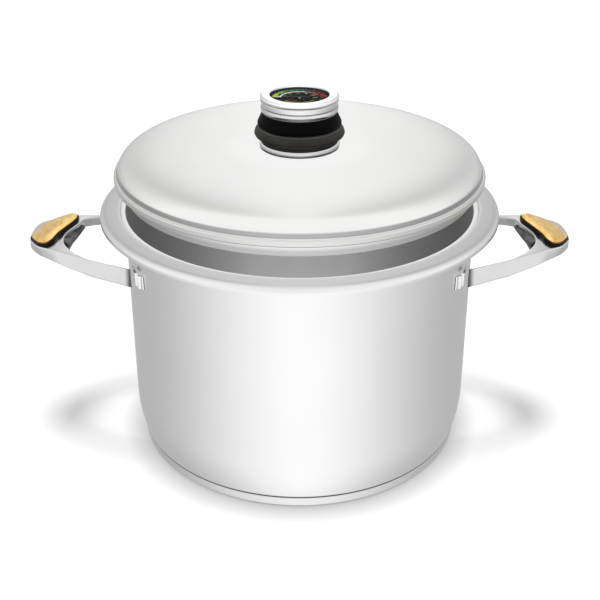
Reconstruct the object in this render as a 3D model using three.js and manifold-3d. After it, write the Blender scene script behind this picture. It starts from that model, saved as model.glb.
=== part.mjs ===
// A deep stainless steel stockpot with a flanged rim, a domed lid and a thermometer knob.
// Millimetres, +Z up. The origin is the centre of the base where it meets the worktop,
// the two side handles point along +X and -X, and the lid is held above its seat.
import * as THREE from 'three';
import { mergeVertices } from 'three/addons/utils/BufferGeometryUtils.js';
import Module from 'manifold-3d';

const wasm = await Module();
wasm.setup();

// Driving dimensions
const RIM_Z = 177;             // top of the flange above the worktop
const RIM_RADIUS = 137.8;      // outer edge of the rolled flange
const BODY_RADIUS = 121;       // outside of the straight wall
const FOOT_RADIUS = 116;       // outside of the wall where it meets the base
const BELLY_Z = 37;            // height where the wall turns straight
const WALL = 1;                // sheet thickness of the pot and the lid
const BASE_Z = 7.9;            // underside of the pot floor
const GAP = 0.3;               // clearance between touching pieces
const LID_LIFT = 19.6;         // how far the lid hovers above its seat
const LID_RADIUS = 126.5;      // outside of the lid's rolled edge
const CREASE_RADIUS = 124.2;   // where the dome meets the rolled edge
const CREASE_Z = 5.9;          // crease above the flange with the lid seated
const DOME_RISE = 14.5;        // dome height above the crease
const KNOB_SEAT_Z = 19.3;      // top of the dome at the knob with the lid seated
const SEAT_DIP = 0.9;          // how far the dome sinks towards the knob
const SKIRT_RADIUS = 119.6;    // outside of the lid's plug skirt
const BAND = 3;                // thickness of the handle strap
const PLATE_LIFT = 2.4;        // grip plate above the strap
const PLATE_Z = -23.6;         // grip plate level below the flange, 170 mm from the axis
const PLATE_FALL = -0.13;      // outward slope of the grip plate
const BRACKET_TURN = 26;       // degrees from the handle's axis to each bracket
const BRACKET_HEIGHT = 9.6;    // height of each bracket
const BRACKET_Z = -38.3;       // lower edge of the brackets below the flange
const POCKET_DEPTH = 2.4;      // how far the grip insert sinks into the strap
const SCREW_SPOTS = [[173, 9], [176, -9]];
const SCREW_HEAD_Z = -37.8;    // underside of the screw heads below the flange
const LINER_Z = -31.5;         // underside of the liner's lip below the flange
const SOLE_Z = -38;            // underside of the liner's sole below the flange
const POINTER_REST = 178;      // degrees, the pointer at the cold end of the dial

const SEGMENTS = 36;           // facets of the pot and the lid
const KNOB_SEGMENTS = 24;      // facets of the knob's rings

const STEEL = { color: 0xc9c9cb, roughness: 0.22, metalness: 1 };
const BRIGHT = { color: 0xe6e6e8, roughness: 0.12, metalness: 1 };
const ALUMINIUM = { color: 0xb4b6ba, roughness: 0.5, metalness: 1 };
const GOLD = { color: 0xe8b864, roughness: 0.2, metalness: 1 };
const BLACK = { color: 0x0b0b0c, roughness: 0.35, metalness: 0 };
const GREY = { color: 0x2e2c2a, roughness: 0.5, metalness: 0 };
const GLASS = { color: 0xdfe8ea, roughness: 0.03, metalness: 0, transparent: true, opacity: 0.3 };
const RUBBER = { color: 0x3a3a3c, roughness: 0.8, metalness: 0 };
const BRASS = { color: 0xb48a44, roughness: 0.35, metalness: 1 };
const RED = { color: 0xd8332a, roughness: 0.4, metalness: 0 };

const object = new THREE.Group();
object.name = 'stockpot';

// ---------------------------------------------------------------- shape helpers

function toManifold(geometry) {
  const bare = geometry.clone();
  bare.deleteAttribute('normal');
  bare.deleteAttribute('uv');
  const merged = mergeVertices(bare, 1e-4);
  const mesh = new wasm.Mesh({
    numProp: 3,
    vertProperties: new Float32Array(merged.attributes.position.array),
    triVerts: new Uint32Array(merged.index.array),
  });
  return new wasm.Manifold(mesh);
}

function fromManifold(solid) {
  const mesh = solid.getMesh();
  const geometry = new THREE.BufferGeometry();
  geometry.setAttribute('position', new THREE.BufferAttribute(new Float32Array(mesh.vertProperties), 3));
  geometry.setIndex(new THREE.BufferAttribute(new Uint32Array(mesh.triVerts), 1));
  return geometry;
}

function subtract(geometry, ...cutters) {
  const solids = cutters.map(toManifold);
  return fromManifold(solids.reduce((left, cutter) => left.subtract(cutter), toManifold(geometry)));
}

function union(...geometries) {
  const [first, ...rest] = geometries.map(toManifold);
  return fromManifold(rest.reduce((sum, solid) => sum.add(solid), first));
}

// Turns the faces outwards if the solid comes out inside out.
function faceOut(geometry) {
  const point = geometry.attributes.position;
  const index = geometry.index.array;
  const corner = [0, 1, 2].map(() => new THREE.Vector3());
  let volume = 0;
  for (let i = 0; i < index.length; i += 3) {
    corner.forEach((vertex, k) => vertex.fromBufferAttribute(point, index[i + k]));
    volume += corner[0].dot(corner[1].clone().cross(corner[2]));
  }
  if (volume < 0) {
    for (let i = 0; i < index.length; i += 3) {
      [index[i], index[i + 1]] = [index[i + 1], index[i]];
    }
  }
  return geometry;
}

// Rounds the corners of an outline given as [x, y, radius] rows.
function rounded(corners, closed = true, steps = 2) {
  const outline = [];
  corners.forEach(([x, y, radius = 0], i) => {
    const corner = new THREE.Vector2(x, y);
    const isEnd = !closed && (i === 0 || i === corners.length - 1);
    if (!radius || isEnd) {
      outline.push(corner);
      return;
    }
    const previous = corners[(i + corners.length - 1) % corners.length];
    const next = corners[(i + 1) % corners.length];
    const back = new THREE.Vector2(previous[0], previous[1]).sub(corner).normalize();
    const ahead = new THREE.Vector2(next[0], next[1]).sub(corner).normalize();
    const half = Math.acos(THREE.MathUtils.clamp(back.dot(ahead), -1, 1)) / 2;
    const reach = radius / Math.tan(half);
    const start = corner.clone().addScaledVector(back, reach);
    const end = corner.clone().addScaledVector(ahead, reach);
    const centre = back.clone().add(ahead).normalize().multiplyScalar(radius / Math.sin(half)).add(corner);
    const from = start.clone().sub(centre);
    const to = end.clone().sub(centre);
    const sweep = Math.atan2(from.cross(to), from.dot(to));
    for (let k = 0; k <= steps; k += 1) {
      outline.push(from.clone().rotateAround(new THREE.Vector2(), (sweep * k) / steps).add(centre));
    }
  });
  return outline;
}

// Gives a centre line a thickness, as a closed outline.
function sheet(line, thickness) {
  const sides = [[], []];
  line.forEach((point, i) => {
    const before = point.clone().sub(line[Math.max(i - 1, 0)]).normalize();
    const after = line[Math.min(i + 1, line.length - 1)].clone().sub(point).normalize();
    const along = before.add(after).normalize();
    const normal = new THREE.Vector2(-along.y, along.x);
    sides[0].push(point.clone().addScaledVector(normal, thickness / 2));
    sides[1].push(point.clone().addScaledVector(normal, -thickness / 2));
  });
  return [...sides[0], ...sides[1].reverse()];
}

// Turns an outline of (radius, height) points about the Z axis.
function revolve(outline, segments = KNOB_SEGMENTS) {
  const loop = [...outline, outline[0]];
  const geometry = new THREE.LatheGeometry(loop, segments);
  geometry.rotateX(Math.PI / 2);
  geometry.deleteAttribute('normal');
  geometry.deleteAttribute('uv');
  return fromManifold(toManifold(faceOut(mergeVertices(geometry, 1e-4))));
}

function ring(corners, segments = KNOB_SEGMENTS) {
  return revolve(rounded(corners), segments);
}

function prism(outline, height, z) {
  const settings = { depth: height, bevelEnabled: false };
  const geometry = new THREE.ExtrudeGeometry(new THREE.Shape(outline), settings);
  geometry.translate(0, 0, z);
  return geometry;
}

// Skins a row of equal point rings into one closed body.
function loft(rings) {
  const count = rings[0].length;
  const vertices = rings.flat();
  const triangles = [];
  for (let s = 0; s < rings.length - 1; s += 1) {
    for (let k = 0; k < count; k += 1) {
      const a = s * count + k;
      const b = s * count + ((k + 1) % count);
      triangles.push(a, b, b + count, a, b + count, a + count);
    }
  }
  [0, rings.length - 1].forEach((s) => {
    const middle = new THREE.Vector3();
    rings[s].forEach((vertex) => middle.addScaledVector(vertex, 1 / count));
    vertices.push(middle);
    for (let k = 0; k < count; k += 1) {
      const a = s * count + k;
      const b = s * count + ((k + 1) % count);
      triangles.push(...(s === 0 ? [b, a] : [a, b]), vertices.length - 1);
    }
  });
  const geometry = new THREE.BufferGeometry().setFromPoints(vertices);
  geometry.setIndex(triangles);
  return faceOut(geometry);
}

// A copy mirrored along X or Y.
function flipped(geometry, x, y) {
  const shape = geometry.clone().scale(x, y, 1);
  if (!shape.index) {
    shape.setIndex([...Array(shape.attributes.position.count).keys()]);
  }
  return faceOut(shape);
}

function place(name, geometry, material, mirrored = false) {
  const shape = mirrored ? flipped(geometry, -1, 1) : geometry;
  const mesh = new THREE.Mesh(shape, new THREE.MeshStandardMaterial(material));
  mesh.name = name;
  object.add(mesh);
}

// ---------------------------------------------------------------- pot

function wallRadius(z) {
  const t = THREE.MathUtils.clamp((BELLY_Z - z) / (BELLY_Z - BASE_Z), 0, 1);
  return BODY_RADIUS - (BODY_RADIUS - FOOT_RADIUS) * t * t;
}

function potShell() {
  const middle = WALL / 2;
  const throat = RIM_Z - 1.7;
  const lipRadius = RIM_RADIUS - middle;
  const belly = [15, 24].map((z) => [wallRadius(z) - middle, z]);
  const line = rounded([
    [0, BASE_Z + middle],
    [wallRadius(9) - middle, BASE_Z + middle, 1.6],
    ...belly,
    [BODY_RADIUS - middle, BELLY_Z],
    [BODY_RADIUS - middle, throat, 1.2],
    [123.6, throat, 0.6],
    [124.6, RIM_Z - middle, 0.6],
    [lipRadius, RIM_Z - middle, 4],
    [lipRadius, RIM_Z - 5],
  ], false);
  return revolve(sheet(line, WALL), SEGMENTS);
}

function baseCore() {
  const radius = FOOT_RADIUS - WALL - 0.5;
  const top = BASE_Z - GAP;
  return ring([[0, 1.2], [radius - 1.6, 1.2], [radius, 2.8], [radius, top], [0, top]], SEGMENTS);
}

function baseCap() {
  const outer = FOOT_RADIUS + 0.2;
  const inner = outer - WALL;
  const top = BASE_Z - GAP;
  return ring([
    [0, 0], [outer, 0, 2.6], [outer, top], [inner, top], [inner, 0.9, 1.8], [0, 0.9],
  ], SEGMENTS);
}

// ---------------------------------------------------------------- handles

// One strap section: the outer and inner edges in plan, how far the outer face leans in and the
// inner face is cut back, then the heights of the four corners from the outer lower edge round.
const STRAP_STATIONS = [
  { outer: [112.4, 55.4], inner: [113.7, 48], lean: 4.6, cut: 4.6, z: [-41, -29.8, -30.9, -42.1] },
  { outer: [130.6, 48.8], inner: [130.3, 41], lean: 5.8, cut: 5.8, z: [-39, -29.2, -30.7, -40] },
  { outer: [144, 43.2], inner: [144.6, 33.8], lean: 7.4, cut: 7.7, z: [-37.5, -29, -30.5, -38.8] },
  { outer: [157.6, 36.1], inner: [156.9, 24.6], lean: 5.4, cut: 4.5, z: [-36.4, -28, -28.2, -36] },
  { outer: [171.3, 26.8], inner: [162, 18], lean: 1.6, cut: 1.5, z: [-34.9, -27.2, -27, -33.4] },
  { outer: [182.6, 17.2], inner: [165, 10.4], lean: -2.2, cut: 0.5, z: [-34.5, -26.7, -26.6, -31.8] },
  { outer: [191.2, 0], inner: [165.5, 0], lean: 0.6, cut: 0.2, z: [-35.2, -27.4, -26.2, -31.4] },
];

// How far the back half stands out, rises and reaches in compared with the front half.
const BACK_HALF = [
  [0, 0, 0], [1, 1.1, 0], [1.9, 1.6, 0], [3, 2.4, 0.5], [3, 2, 4.4], [2.6, 1.1, 3.2], [0, 0, 0.3],
];

// Corner points of a station, moved outwards by grow: outer low, outer high, inner high, inner low.
function stationCorners(order, side, grow) {
  const station = STRAP_STATIONS[order];
  const outer = new THREE.Vector2(station.outer[0], side * station.outer[1]);
  const inner = new THREE.Vector2(station.inner[0], side * station.inner[1]);
  const inward = inner.clone().sub(outer).normalize();
  const [out, up, reach] = side > 0 ? BACK_HALF[order] : [0, 0, 0];
  const plan = [
    outer.clone().addScaledVector(inward, -grow - out),
    outer.clone().addScaledVector(inward, station.lean - grow - out),
    inner.clone().addScaledVector(inward, grow + reach),
    inner.clone().addScaledVector(inward, grow + reach - station.cut),
  ];
  const rise = [-grow, grow, grow, -grow];
  return plan.map((point, k) => new THREE.Vector3(point.x, point.y, RIM_Z + station.z[k] + rise[k] + up));
}

// Rounds the section's corners with a short quadratic bend.
function roundSection(corners, radius, steps = 2) {
  const outline = [];
  corners.forEach((corner, i) => {
    const before = corners[(i + corners.length - 1) % corners.length];
    const after = corners[(i + 1) % corners.length];
    const back = Math.min(radius, corner.distanceTo(before) * 0.42);
    const ahead = Math.min(radius, corner.distanceTo(after) * 0.42);
    const start = corner.clone().lerp(before, back / corner.distanceTo(before));
    const end = corner.clone().lerp(after, ahead / corner.distanceTo(after));
    outline.push(...new THREE.QuadraticBezierCurve3(start, corner, end).getPoints(steps));
  });
  return outline;
}

function strap(grow = 0, samples = 36) {
  const front = STRAP_STATIONS.map((_, order) => stationCorners(order, -1, grow));
  const back = STRAP_STATIONS.map((_, order) => stationCorners(order, 1, grow));
  const stations = [...front, ...back.slice(0, -1).reverse()];
  const edges = [0, 1, 2, 3].map((k) => new THREE.CatmullRomCurve3(stations.map((row) => row[k])));
  const rings = [];
  for (let s = 0; s <= samples; s += 1) {
    rings.push(roundSection(edges.map((edge) => edge.getPoint(s / samples)), BAND * 0.4));
  }
  return loft(rings);
}

// Leaf outline of the grip plate in plan: narrow at the back, blunt at the front.
function leafOutline(inset = 0) {
  const line = new THREE.CatmullRomCurve3([
    [189.7, -4.6], [188, 5], [184.4, 15.8], [179.2, 22.8], [172.6, 27.2], [165.4, 29.2], [161.2, 27.2],
    [159.9, 20.6], [161.7, 13], [165.2, 4.8], [169.2, -5.6], [171.3, -15.4], [174.8, -20.6], [180.4, -19.6],
    [186.8, -11.6],
  ].map(([x, y]) => new THREE.Vector3(x, y, 0)), true);
  const points = line.getPoints(36).slice(0, -1);
  return points.map((point, i) => {
    const before = points[(i + points.length - 1) % points.length];
    const after = points[(i + 1) % points.length];
    const along = after.clone().sub(before).normalize();
    return new THREE.Vector2(point.x - along.y * inset, point.y + along.x * inset);
  });
}

// A slab between two levels measured from the sloping plate plane.
function leafSlab(inset, low, high) {
  const geometry = prism(leafOutline(inset), high - low, RIM_Z + PLATE_Z + low);
  const point = geometry.attributes.position;
  for (let i = 0; i < point.count; i += 1) {
    point.setZ(i, point.getZ(i) + PLATE_FALL * (point.getX(i) - 170));
  }
  return geometry;
}

function column(radius, low, high, [x, y], segments = 16) {
  const geometry = new THREE.CylinderGeometry(radius, radius, high - low, segments);
  geometry.rotateX(Math.PI / 2);
  geometry.translate(x, y, (low + high) / 2);
  return geometry;
}

function plateLevel([x]) {
  return RIM_Z + PLATE_Z + PLATE_FALL * (x - 170);
}

function handleStrap() {
  const pocket = leafSlab(-GAP, -PLATE_LIFT - POCKET_DEPTH, 4);
  return subtract(strap(), pocket, ...SCREW_SPOTS.map((spot) => column(1.9, RIM_Z - 60, RIM_Z, spot)));
}

function gripInsert() {
  const slab = leafSlab(0, -PLATE_LIFT - POCKET_DEPTH + GAP, -GAP);
  const recess = leafSlab(0.7, -0.9, 1);
  const holes = SCREW_SPOTS.map((spot) => column(1.3, RIM_Z - 60, plateLevel(spot) - 2.2, spot));
  return subtract(slab, recess, ...holes);
}

function goldPlate() {
  return leafSlab(1, -0.9 + GAP, 0.7);
}

// The dark pad below the strap, with a lip that fills the pot side of the grip.
function gripLiner() {
  const lip = prism(rounded([
    [167, -8, 1], [163.6, -10.8, 1], [161.3, -14, 0.8], [158.2, 4.4, 20], [156, 22.5, 1.6], [158, 25, 1.2],
    [167, 13, 1],
  ]), 11, RIM_Z + LINER_Z);
  const point = lip.attributes.position;
  for (let i = 0; i < point.count; i += 1) {
    if (point.getZ(i) > RIM_Z + LINER_Z + 1) {
      point.setZ(i, RIM_Z - 27.6 - 0.3 * Math.max(0, 164.4 - point.getX(i)));
    }
  }
  const sole = prism(rounded([
    [163.6, -15, 2], [172, -17.5, 4], [184, -7, 6], [184, 7, 6], [172, 17.5, 4], [162.6, 17, 2],
  ]), 8, RIM_Z + SOLE_Z);
  const holes = SCREW_SPOTS.flatMap((spot) => [
    column(1.7, RIM_Z - 60, RIM_Z, spot),
    column(3.1, RIM_Z - 60, RIM_Z + SCREW_HEAD_Z + 1.4, spot),
  ]);
  const insertSpace = leafSlab(-1, -PLATE_LIFT - POCKET_DEPTH - 0.7, 20);
  return keepLargest(subtract(union(lip, sole), strap(GAP), insertSpace, ...holes));
}

function keepLargest(geometry) {
  const parts = toManifold(geometry).decompose();
  parts.sort((a, b) => b.volume() - a.volume());
  return fromManifold(parts[0]);
}

// Head under the pad, shank up into the insert.
function gripScrew(spot) {
  return union(
    column(2.7, RIM_Z + SCREW_HEAD_Z, RIM_Z + SCREW_HEAD_Z + 1.1, spot),
    column(1, RIM_Z + SCREW_HEAD_Z + 1, plateLevel(spot) - 2.6, spot, 12),
  );
}

// A folded pad that hugs the wall, with two upright folds that hold the strap's end.
function bracket() {
  const outline = [];
  const first = BRACKET_TURN - 5;
  const last = BRACKET_TURN + 6;
  const folds = [BRACKET_TURN + 2, BRACKET_TURN + 4.4];
  const steps = 44;
  for (let k = 0; k <= steps; k += 1) {
    const angle = first + ((last - first) * k) / steps;
    const bump = folds.reduce((sum, fold) => sum + Math.exp(-(((angle - fold) / 0.55) ** 2)), 0);
    const radius = BODY_RADIUS + GAP + 0.9 + 1.8 * bump;
    outline.push([angle, radius]);
  }
  for (let k = 8; k >= 0; k -= 1) {
    outline.push([first + ((last - first) * k) / 8, BODY_RADIUS + GAP]);
  }
  const points = outline.map(([angle, radius]) => {
    const azimuth = THREE.MathUtils.degToRad(-angle);
    return new THREE.Vector2(radius * Math.cos(azimuth), radius * Math.sin(azimuth));
  });
  return prism(points.reverse(), BRACKET_HEIGHT, RIM_Z + BRACKET_Z);
}

// ---------------------------------------------------------------- lid

function domeTop(radius) {
  const reach = Math.min(radius / CREASE_RADIUS, 1);
  const bulge = (1 - reach ** 13) ** (1 / 1.8);
  const dip = SEAT_DIP * (1 - THREE.MathUtils.smoothstep(radius, 28, 52));
  return CREASE_Z + DOME_RISE * bulge - dip;
}

function lidShell() {
  const middle = WALL / 2;
  const radii = [70, 98, 108, 114, 118, 121, 123];
  const dome = radii.map((radius) => [radius - middle * (radius > 110 ? 0.7 : 0), domeTop(radius) - middle]);
  const edge = LID_RADIUS - middle;
  const line = rounded([
    [5.8, KNOB_SEAT_Z - middle],
    [28, KNOB_SEAT_Z - middle],
    [44, domeTop(44) - middle],
    ...dome,
    [123.5, CREASE_Z - 0.4],
    [edge, CREASE_Z - 1.6, 0.8],
    [edge, GAP + middle, 1],
    [SKIRT_RADIUS - middle, GAP + middle, 0.8],
    [SKIRT_RADIUS - middle, -7.8],
  ], false);
  return revolve(sheet(line, WALL), SEGMENTS);
}

// ---------------------------------------------------------------- knob

// Heights are above the flange with the lid seated.
const KNOB = {
  washer: KNOB_SEAT_Z + GAP,
  base: 20.5,
  collar: 23.1,
  grip: 33.6,
  head: 43.9,
  bezel: 52.1,
  top: 55.7,
};

function knobWasher() {
  return ring([[6, KNOB.washer], [27, KNOB.washer], [27, KNOB.base - GAP], [6, KNOB.base - GAP]]);
}

function knobBaseRing() {
  const top = KNOB.collar - GAP;
  return ring([[6, KNOB.base], [27.2, KNOB.base, 0.5], [27.2, top, 0.5], [6, top]]);
}

function knobCollar() {
  return ring([
    [5.5, KNOB.collar], [26.2, KNOB.collar, 0.5], [26.4, 26.4, 0.5], [27.8, 27, 0.6], [30, 27.9, 0.9],
    [30.7, 29.5, 0.9], [30, 31.8, 0.9], [28.4, KNOB.grip - GAP, 0.6], [11, KNOB.grip - GAP], [11, 30.6],
    [5.5, 30.6],
  ]);
}

function knobStud() {
  return ring([
    [2.8, 11.2], [5.1, 11.2], [5.1, 31], [10.6, 31], [10.6, 33.6, 0.4], [2.8, 33.6],
  ], 24);
}

function knobNut() {
  const across = 8.5 / Math.cos(Math.PI / 6);
  const nut = new THREE.CylinderGeometry(across, across, 4.6, 6);
  nut.rotateX(Math.PI / 2);
  nut.translate(0, 0, 14.4);
  return subtract(nut, column(5.4, 0, 40, [0, 0], 24));
}

function nutWasher() {
  return ring([[5.5, 17.05], [11, 17.05], [11, 18.0], [5.5, 18.0]], 24);
}

function stemClip() {
  const outline = new THREE.Shape();
  const open = 0.7;
  outline.absarc(0, 0, 4.6, open, 2 * Math.PI - open, false);
  outline.absarc(0, 0, 2.3, 2 * Math.PI - open, open, true);
  outline.closePath();
  const geometry = new THREE.ExtrudeGeometry(outline, { depth: 0.9, bevelEnabled: false, curveSegments: 16 });
  geometry.translate(0, 0, 9.9);
  return geometry;
}

function knobGrip() {
  return ring([
    [13, KNOB.grip], [26.2, KNOB.grip, 0.8], [28.4, 35.2, 1], [28.4, 37, 1.5], [25.2, KNOB.head - GAP, 0.8],
    [13, KNOB.head - GAP],
  ]);
}

function gaugeCase() {
  return ring([
    [2.5, KNOB.head], [24.9, KNOB.head, 0.4], [25.9, 44.9, 0.8], [26.2, 46.4, 0.8], [25.9, 47.9, 0.3],
    [25.4, 48.3], [25.7, 48.8, 0.2], [26, KNOB.bezel - GAP, 0.4], [22.4, KNOB.bezel - GAP], [22.4, 45.6],
    [2.5, 45.6],
  ]);
}

function gaugeBezel() {
  return ring([
    [22.2, KNOB.bezel], [26.3, KNOB.bezel, 0.4], [26.7, 54.5, 0.8], [25.2, KNOB.top, 0.6], [20.1, 55.5, 0.2],
    [20.1, 54.9], [22.2, 54.9],
  ]);
}

function gaugeLens() {
  return ring([[0, 54], [21.8, 54], [21.8, 54.6], [19.7, 54.6], [13, 55], [0, 55.3]]);
}

function gaugeDial() {
  return ring([[1.6, 52.4], [21.9, 52.4], [21.9, 53.7], [20.3, 53.7], [19.7, 53], [1.6, 53]]);
}

function dialSpacer() {
  return ring([[20.4, 45.9], [21.9, 45.9], [21.9, 52.1], [20.4, 52.1]]);
}

function sensorStem() {
  return ring([
    [0, 7.6], [1.2, 7.6, 0.4], [2.1, 8.4, 0.4], [2.1, 45.9], [6, 45.9], [6, 46.6], [0, 46.6],
  ], 20);
}

// A flat spiral strip wound round the spindle.
function bimetalCoil() {
  const turns = 3;
  const steps = 66;
  const side = (offset) => Array.from({ length: steps + 1 }, (_, k) => {
    const angle = (turns * 2 * Math.PI * k) / steps;
    const radius = 2.4 + (7 * k) / steps + offset;
    return new THREE.Vector2(radius * Math.cos(angle), radius * Math.sin(angle));
  });
  return prism([...side(0.35), ...side(-0.35).reverse()], 1.9, 47.1);
}

function spindle() {
  return ring([[0, 46.9], [0.9, 46.9], [0.9, 53.1], [0, 53.1]], 12);
}

function pointer() {
  const blade = new THREE.Shape([
    [-6, -1.3], [-1, -1.7], [13.5, -0.45], [17, 0], [13.5, 0.45], [-1, 1.7], [-6, 1.3],
  ].map(([x, y]) => new THREE.Vector2(x, y)));
  const geometry = new THREE.ExtrudeGeometry(blade, { depth: 0.3, bevelEnabled: false });
  geometry.translate(0, 0, 53.4);
  geometry.rotateZ(THREE.MathUtils.degToRad(POINTER_REST));
  return geometry;
}

// ---------------------------------------------------------------- assembly

place('pot_shell', potShell(), STEEL);
place('base_core', baseCore(), ALUMINIUM);
place('base_cap', baseCap(), BRIGHT);

const strapShape = handleStrap();
const insertShape = gripInsert();
const plateShape = goldPlate();
const linerShape = gripLiner();
const screwShapes = SCREW_SPOTS.map(gripScrew);
const frontBracket = bracket();
const backBracket = flipped(frontBracket, 1, -1);
['right', 'left'].forEach((side) => {
  const mirrored = side === 'left';
  place(`handle_strap_${side}`, strapShape, STEEL, mirrored);
  place(`grip_insert_${side}`, insertShape, BLACK, mirrored);
  place(`grip_plate_${side}`, plateShape, GOLD, mirrored);
  place(`grip_liner_${side}`, linerShape, BLACK, mirrored);
  screwShapes.forEach((shape, k) => place(`grip_screw_${side}_${k + 1}`, shape, BRIGHT, mirrored));
  place(`handle_bracket_${side}_front`, frontBracket, STEEL, mirrored);
  place(`handle_bracket_${side}_back`, backBracket, STEEL, mirrored);
});

const lidPieces = [
  ['lid_shell', lidShell(), STEEL],
  ['knob_washer', knobWasher(), RUBBER],
  ['knob_base_ring', knobBaseRing(), BRIGHT],
  ['knob_collar', knobCollar(), GREY],
  ['knob_stud', knobStud(), BRIGHT],
  ['knob_nut', knobNut(), BRIGHT],
  ['nut_washer', nutWasher(), BRIGHT],
  ['knob_grip', knobGrip(), BLACK],
  ['gauge_case', gaugeCase(), BRIGHT],
  ['gauge_bezel', gaugeBezel(), BRIGHT],
  ['gauge_lens', gaugeLens(), GLASS],
  ['gauge_dial', gaugeDial(), BLACK],
  ['dial_spacer', dialSpacer(), BLACK],
  ['sensor_stem', sensorStem(), BRIGHT],
  ['stem_clip', stemClip(), BRIGHT],
  ['bimetal_coil', bimetalCoil(), BRASS],
  ['pointer_spindle', spindle(), BRASS],
  ['gauge_pointer', pointer(), RED],
];
lidPieces.forEach(([name, geometry, material]) => {
  geometry.translate(0, 0, RIM_Z + LID_LIFT);
  place(name, geometry, material);
});

export default object;
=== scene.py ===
"""A lidded stockpot with a thermometer knob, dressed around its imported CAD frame.

Profiles are in millimetres as (radius, height) about the Z axis. Meshes are made in metres.
"""
import math

import bmesh
import bpy
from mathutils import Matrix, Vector

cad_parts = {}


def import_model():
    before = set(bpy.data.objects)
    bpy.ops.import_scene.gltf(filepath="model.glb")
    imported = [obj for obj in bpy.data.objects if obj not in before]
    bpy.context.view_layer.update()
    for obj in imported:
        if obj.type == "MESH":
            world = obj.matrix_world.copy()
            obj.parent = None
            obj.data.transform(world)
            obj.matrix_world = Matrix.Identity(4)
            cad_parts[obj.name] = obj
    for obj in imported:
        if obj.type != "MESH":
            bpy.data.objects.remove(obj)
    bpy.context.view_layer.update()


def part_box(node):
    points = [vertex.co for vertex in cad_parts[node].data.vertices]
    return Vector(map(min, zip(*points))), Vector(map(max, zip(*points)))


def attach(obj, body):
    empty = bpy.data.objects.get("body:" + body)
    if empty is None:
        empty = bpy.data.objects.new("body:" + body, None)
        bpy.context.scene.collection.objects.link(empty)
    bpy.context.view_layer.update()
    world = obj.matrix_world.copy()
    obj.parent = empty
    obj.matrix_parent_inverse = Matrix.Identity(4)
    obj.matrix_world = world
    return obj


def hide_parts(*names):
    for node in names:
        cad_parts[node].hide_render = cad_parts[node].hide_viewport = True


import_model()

MM = 0.001
STEEL_THICKNESS = 1.0
GAP = 0.3
SKIRT_DEPTH = 8.3
SEGMENTS = 256
KNOB_SEGMENTS = 144

# Edges are shaded smooth up to these angles, in degrees
SMOOTH_ANGLE = 32
DIAL_SMOOTH = 30

# Sizes read from the frame, in millimetres. LID_BASE is the height of the lid's rolled edge.
RIM_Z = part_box("pot_shell")[1].z / MM
RIM_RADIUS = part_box("pot_shell")[1].x / MM
LID_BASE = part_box("lid_shell")[0].z / MM + SKIRT_DEPTH
LID_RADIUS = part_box("lid_shell")[1].x / MM

# Pot: the wall, the foot, and the heights where the belly and the base end
BODY_RADIUS = 121
FOOT_RADIUS = 116
BELLY_Z = 37
BASE_Z = 7.9

# Lid, with heights above LID_BASE
CREASE_RADIUS = 124.2
CREASE_Z = 5.9
DOME_RISE = 14.5
KNOB_SEAT_Z = 19.3
SEAT_DIP = 0.9
SKIRT_RADIUS = 119.6

# Handles, with heights from the rim. BRACKET_TURN is in degrees and PLATE_FALL is a slope.
BAND = 3
PLATE_LIFT = 2.4
PLATE_Z = -23.6
PLATE_FALL = -0.13
POCKET_DEPTH = 2.4
BRACKET_TURN = 26
BRACKET_HEIGHT = 9.6
BRACKET_Z = -38.3
SCREW_SPOTS = [(173, 9), (176, -9)]

# Thermometer: the height of the printed face above LID_BASE, and angles in degrees from +X
DIAL_Z = 53
DIAL_START, DIAL_END = 178, -20
POINTER_REST = math.degrees(math.atan2(
    sum(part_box("gauge_pointer")[k].y for k in (0, 1)), sum(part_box("gauge_pointer")[k].x for k in (0, 1))))


# ---------------------------------------------------------------- outlines

def rounded(corners, closed=True, steps=6):
    """Rounds the corners of an outline given as (x, y, radius) rows."""
    outline = []
    count = len(corners)
    for i, row in enumerate(corners):
        corner = Vector(row[:2])
        radius = row[2] if len(row) > 2 else 0
        if not radius or (not closed and i in (0, count - 1)):
            outline.append(corner)
            continue
        back = (Vector(corners[i - 1][:2]) - corner).normalized()
        ahead = (Vector(corners[(i + 1) % count][:2]) - corner).normalized()
        half = math.acos(max(-1, min(1, back.dot(ahead)))) / 2
        reach = radius / math.tan(half)
        centre = corner + (back + ahead).normalized() * (radius / math.sin(half))
        start = corner + back * reach - centre
        end = corner + ahead * reach - centre
        cross = start.x * end.y - start.y * end.x
        sweep = math.atan2(cross, start.dot(end))
        for k in range(steps + 1):
            angle = sweep * k / steps
            turned = Vector((start.x * math.cos(angle) - start.y * math.sin(angle),
                             start.x * math.sin(angle) + start.y * math.cos(angle)))
            outline.append(centre + turned)
    return outline


def sheet(line):
    """Gives a centre line the thickness of the steel, as a closed outline."""
    half = STEEL_THICKNESS / 2
    left, right = [], []
    for i, point in enumerate(line):
        before = point - line[max(i - 1, 0)]
        after = line[min(i + 1, len(line) - 1)] - point
        along = (before.normalized() + after.normalized()).normalized()
        normal = Vector((-along.y, along.x))
        left.append(point + normal * half)
        right.append(point - normal * half)
    return left + right[::-1]


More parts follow.
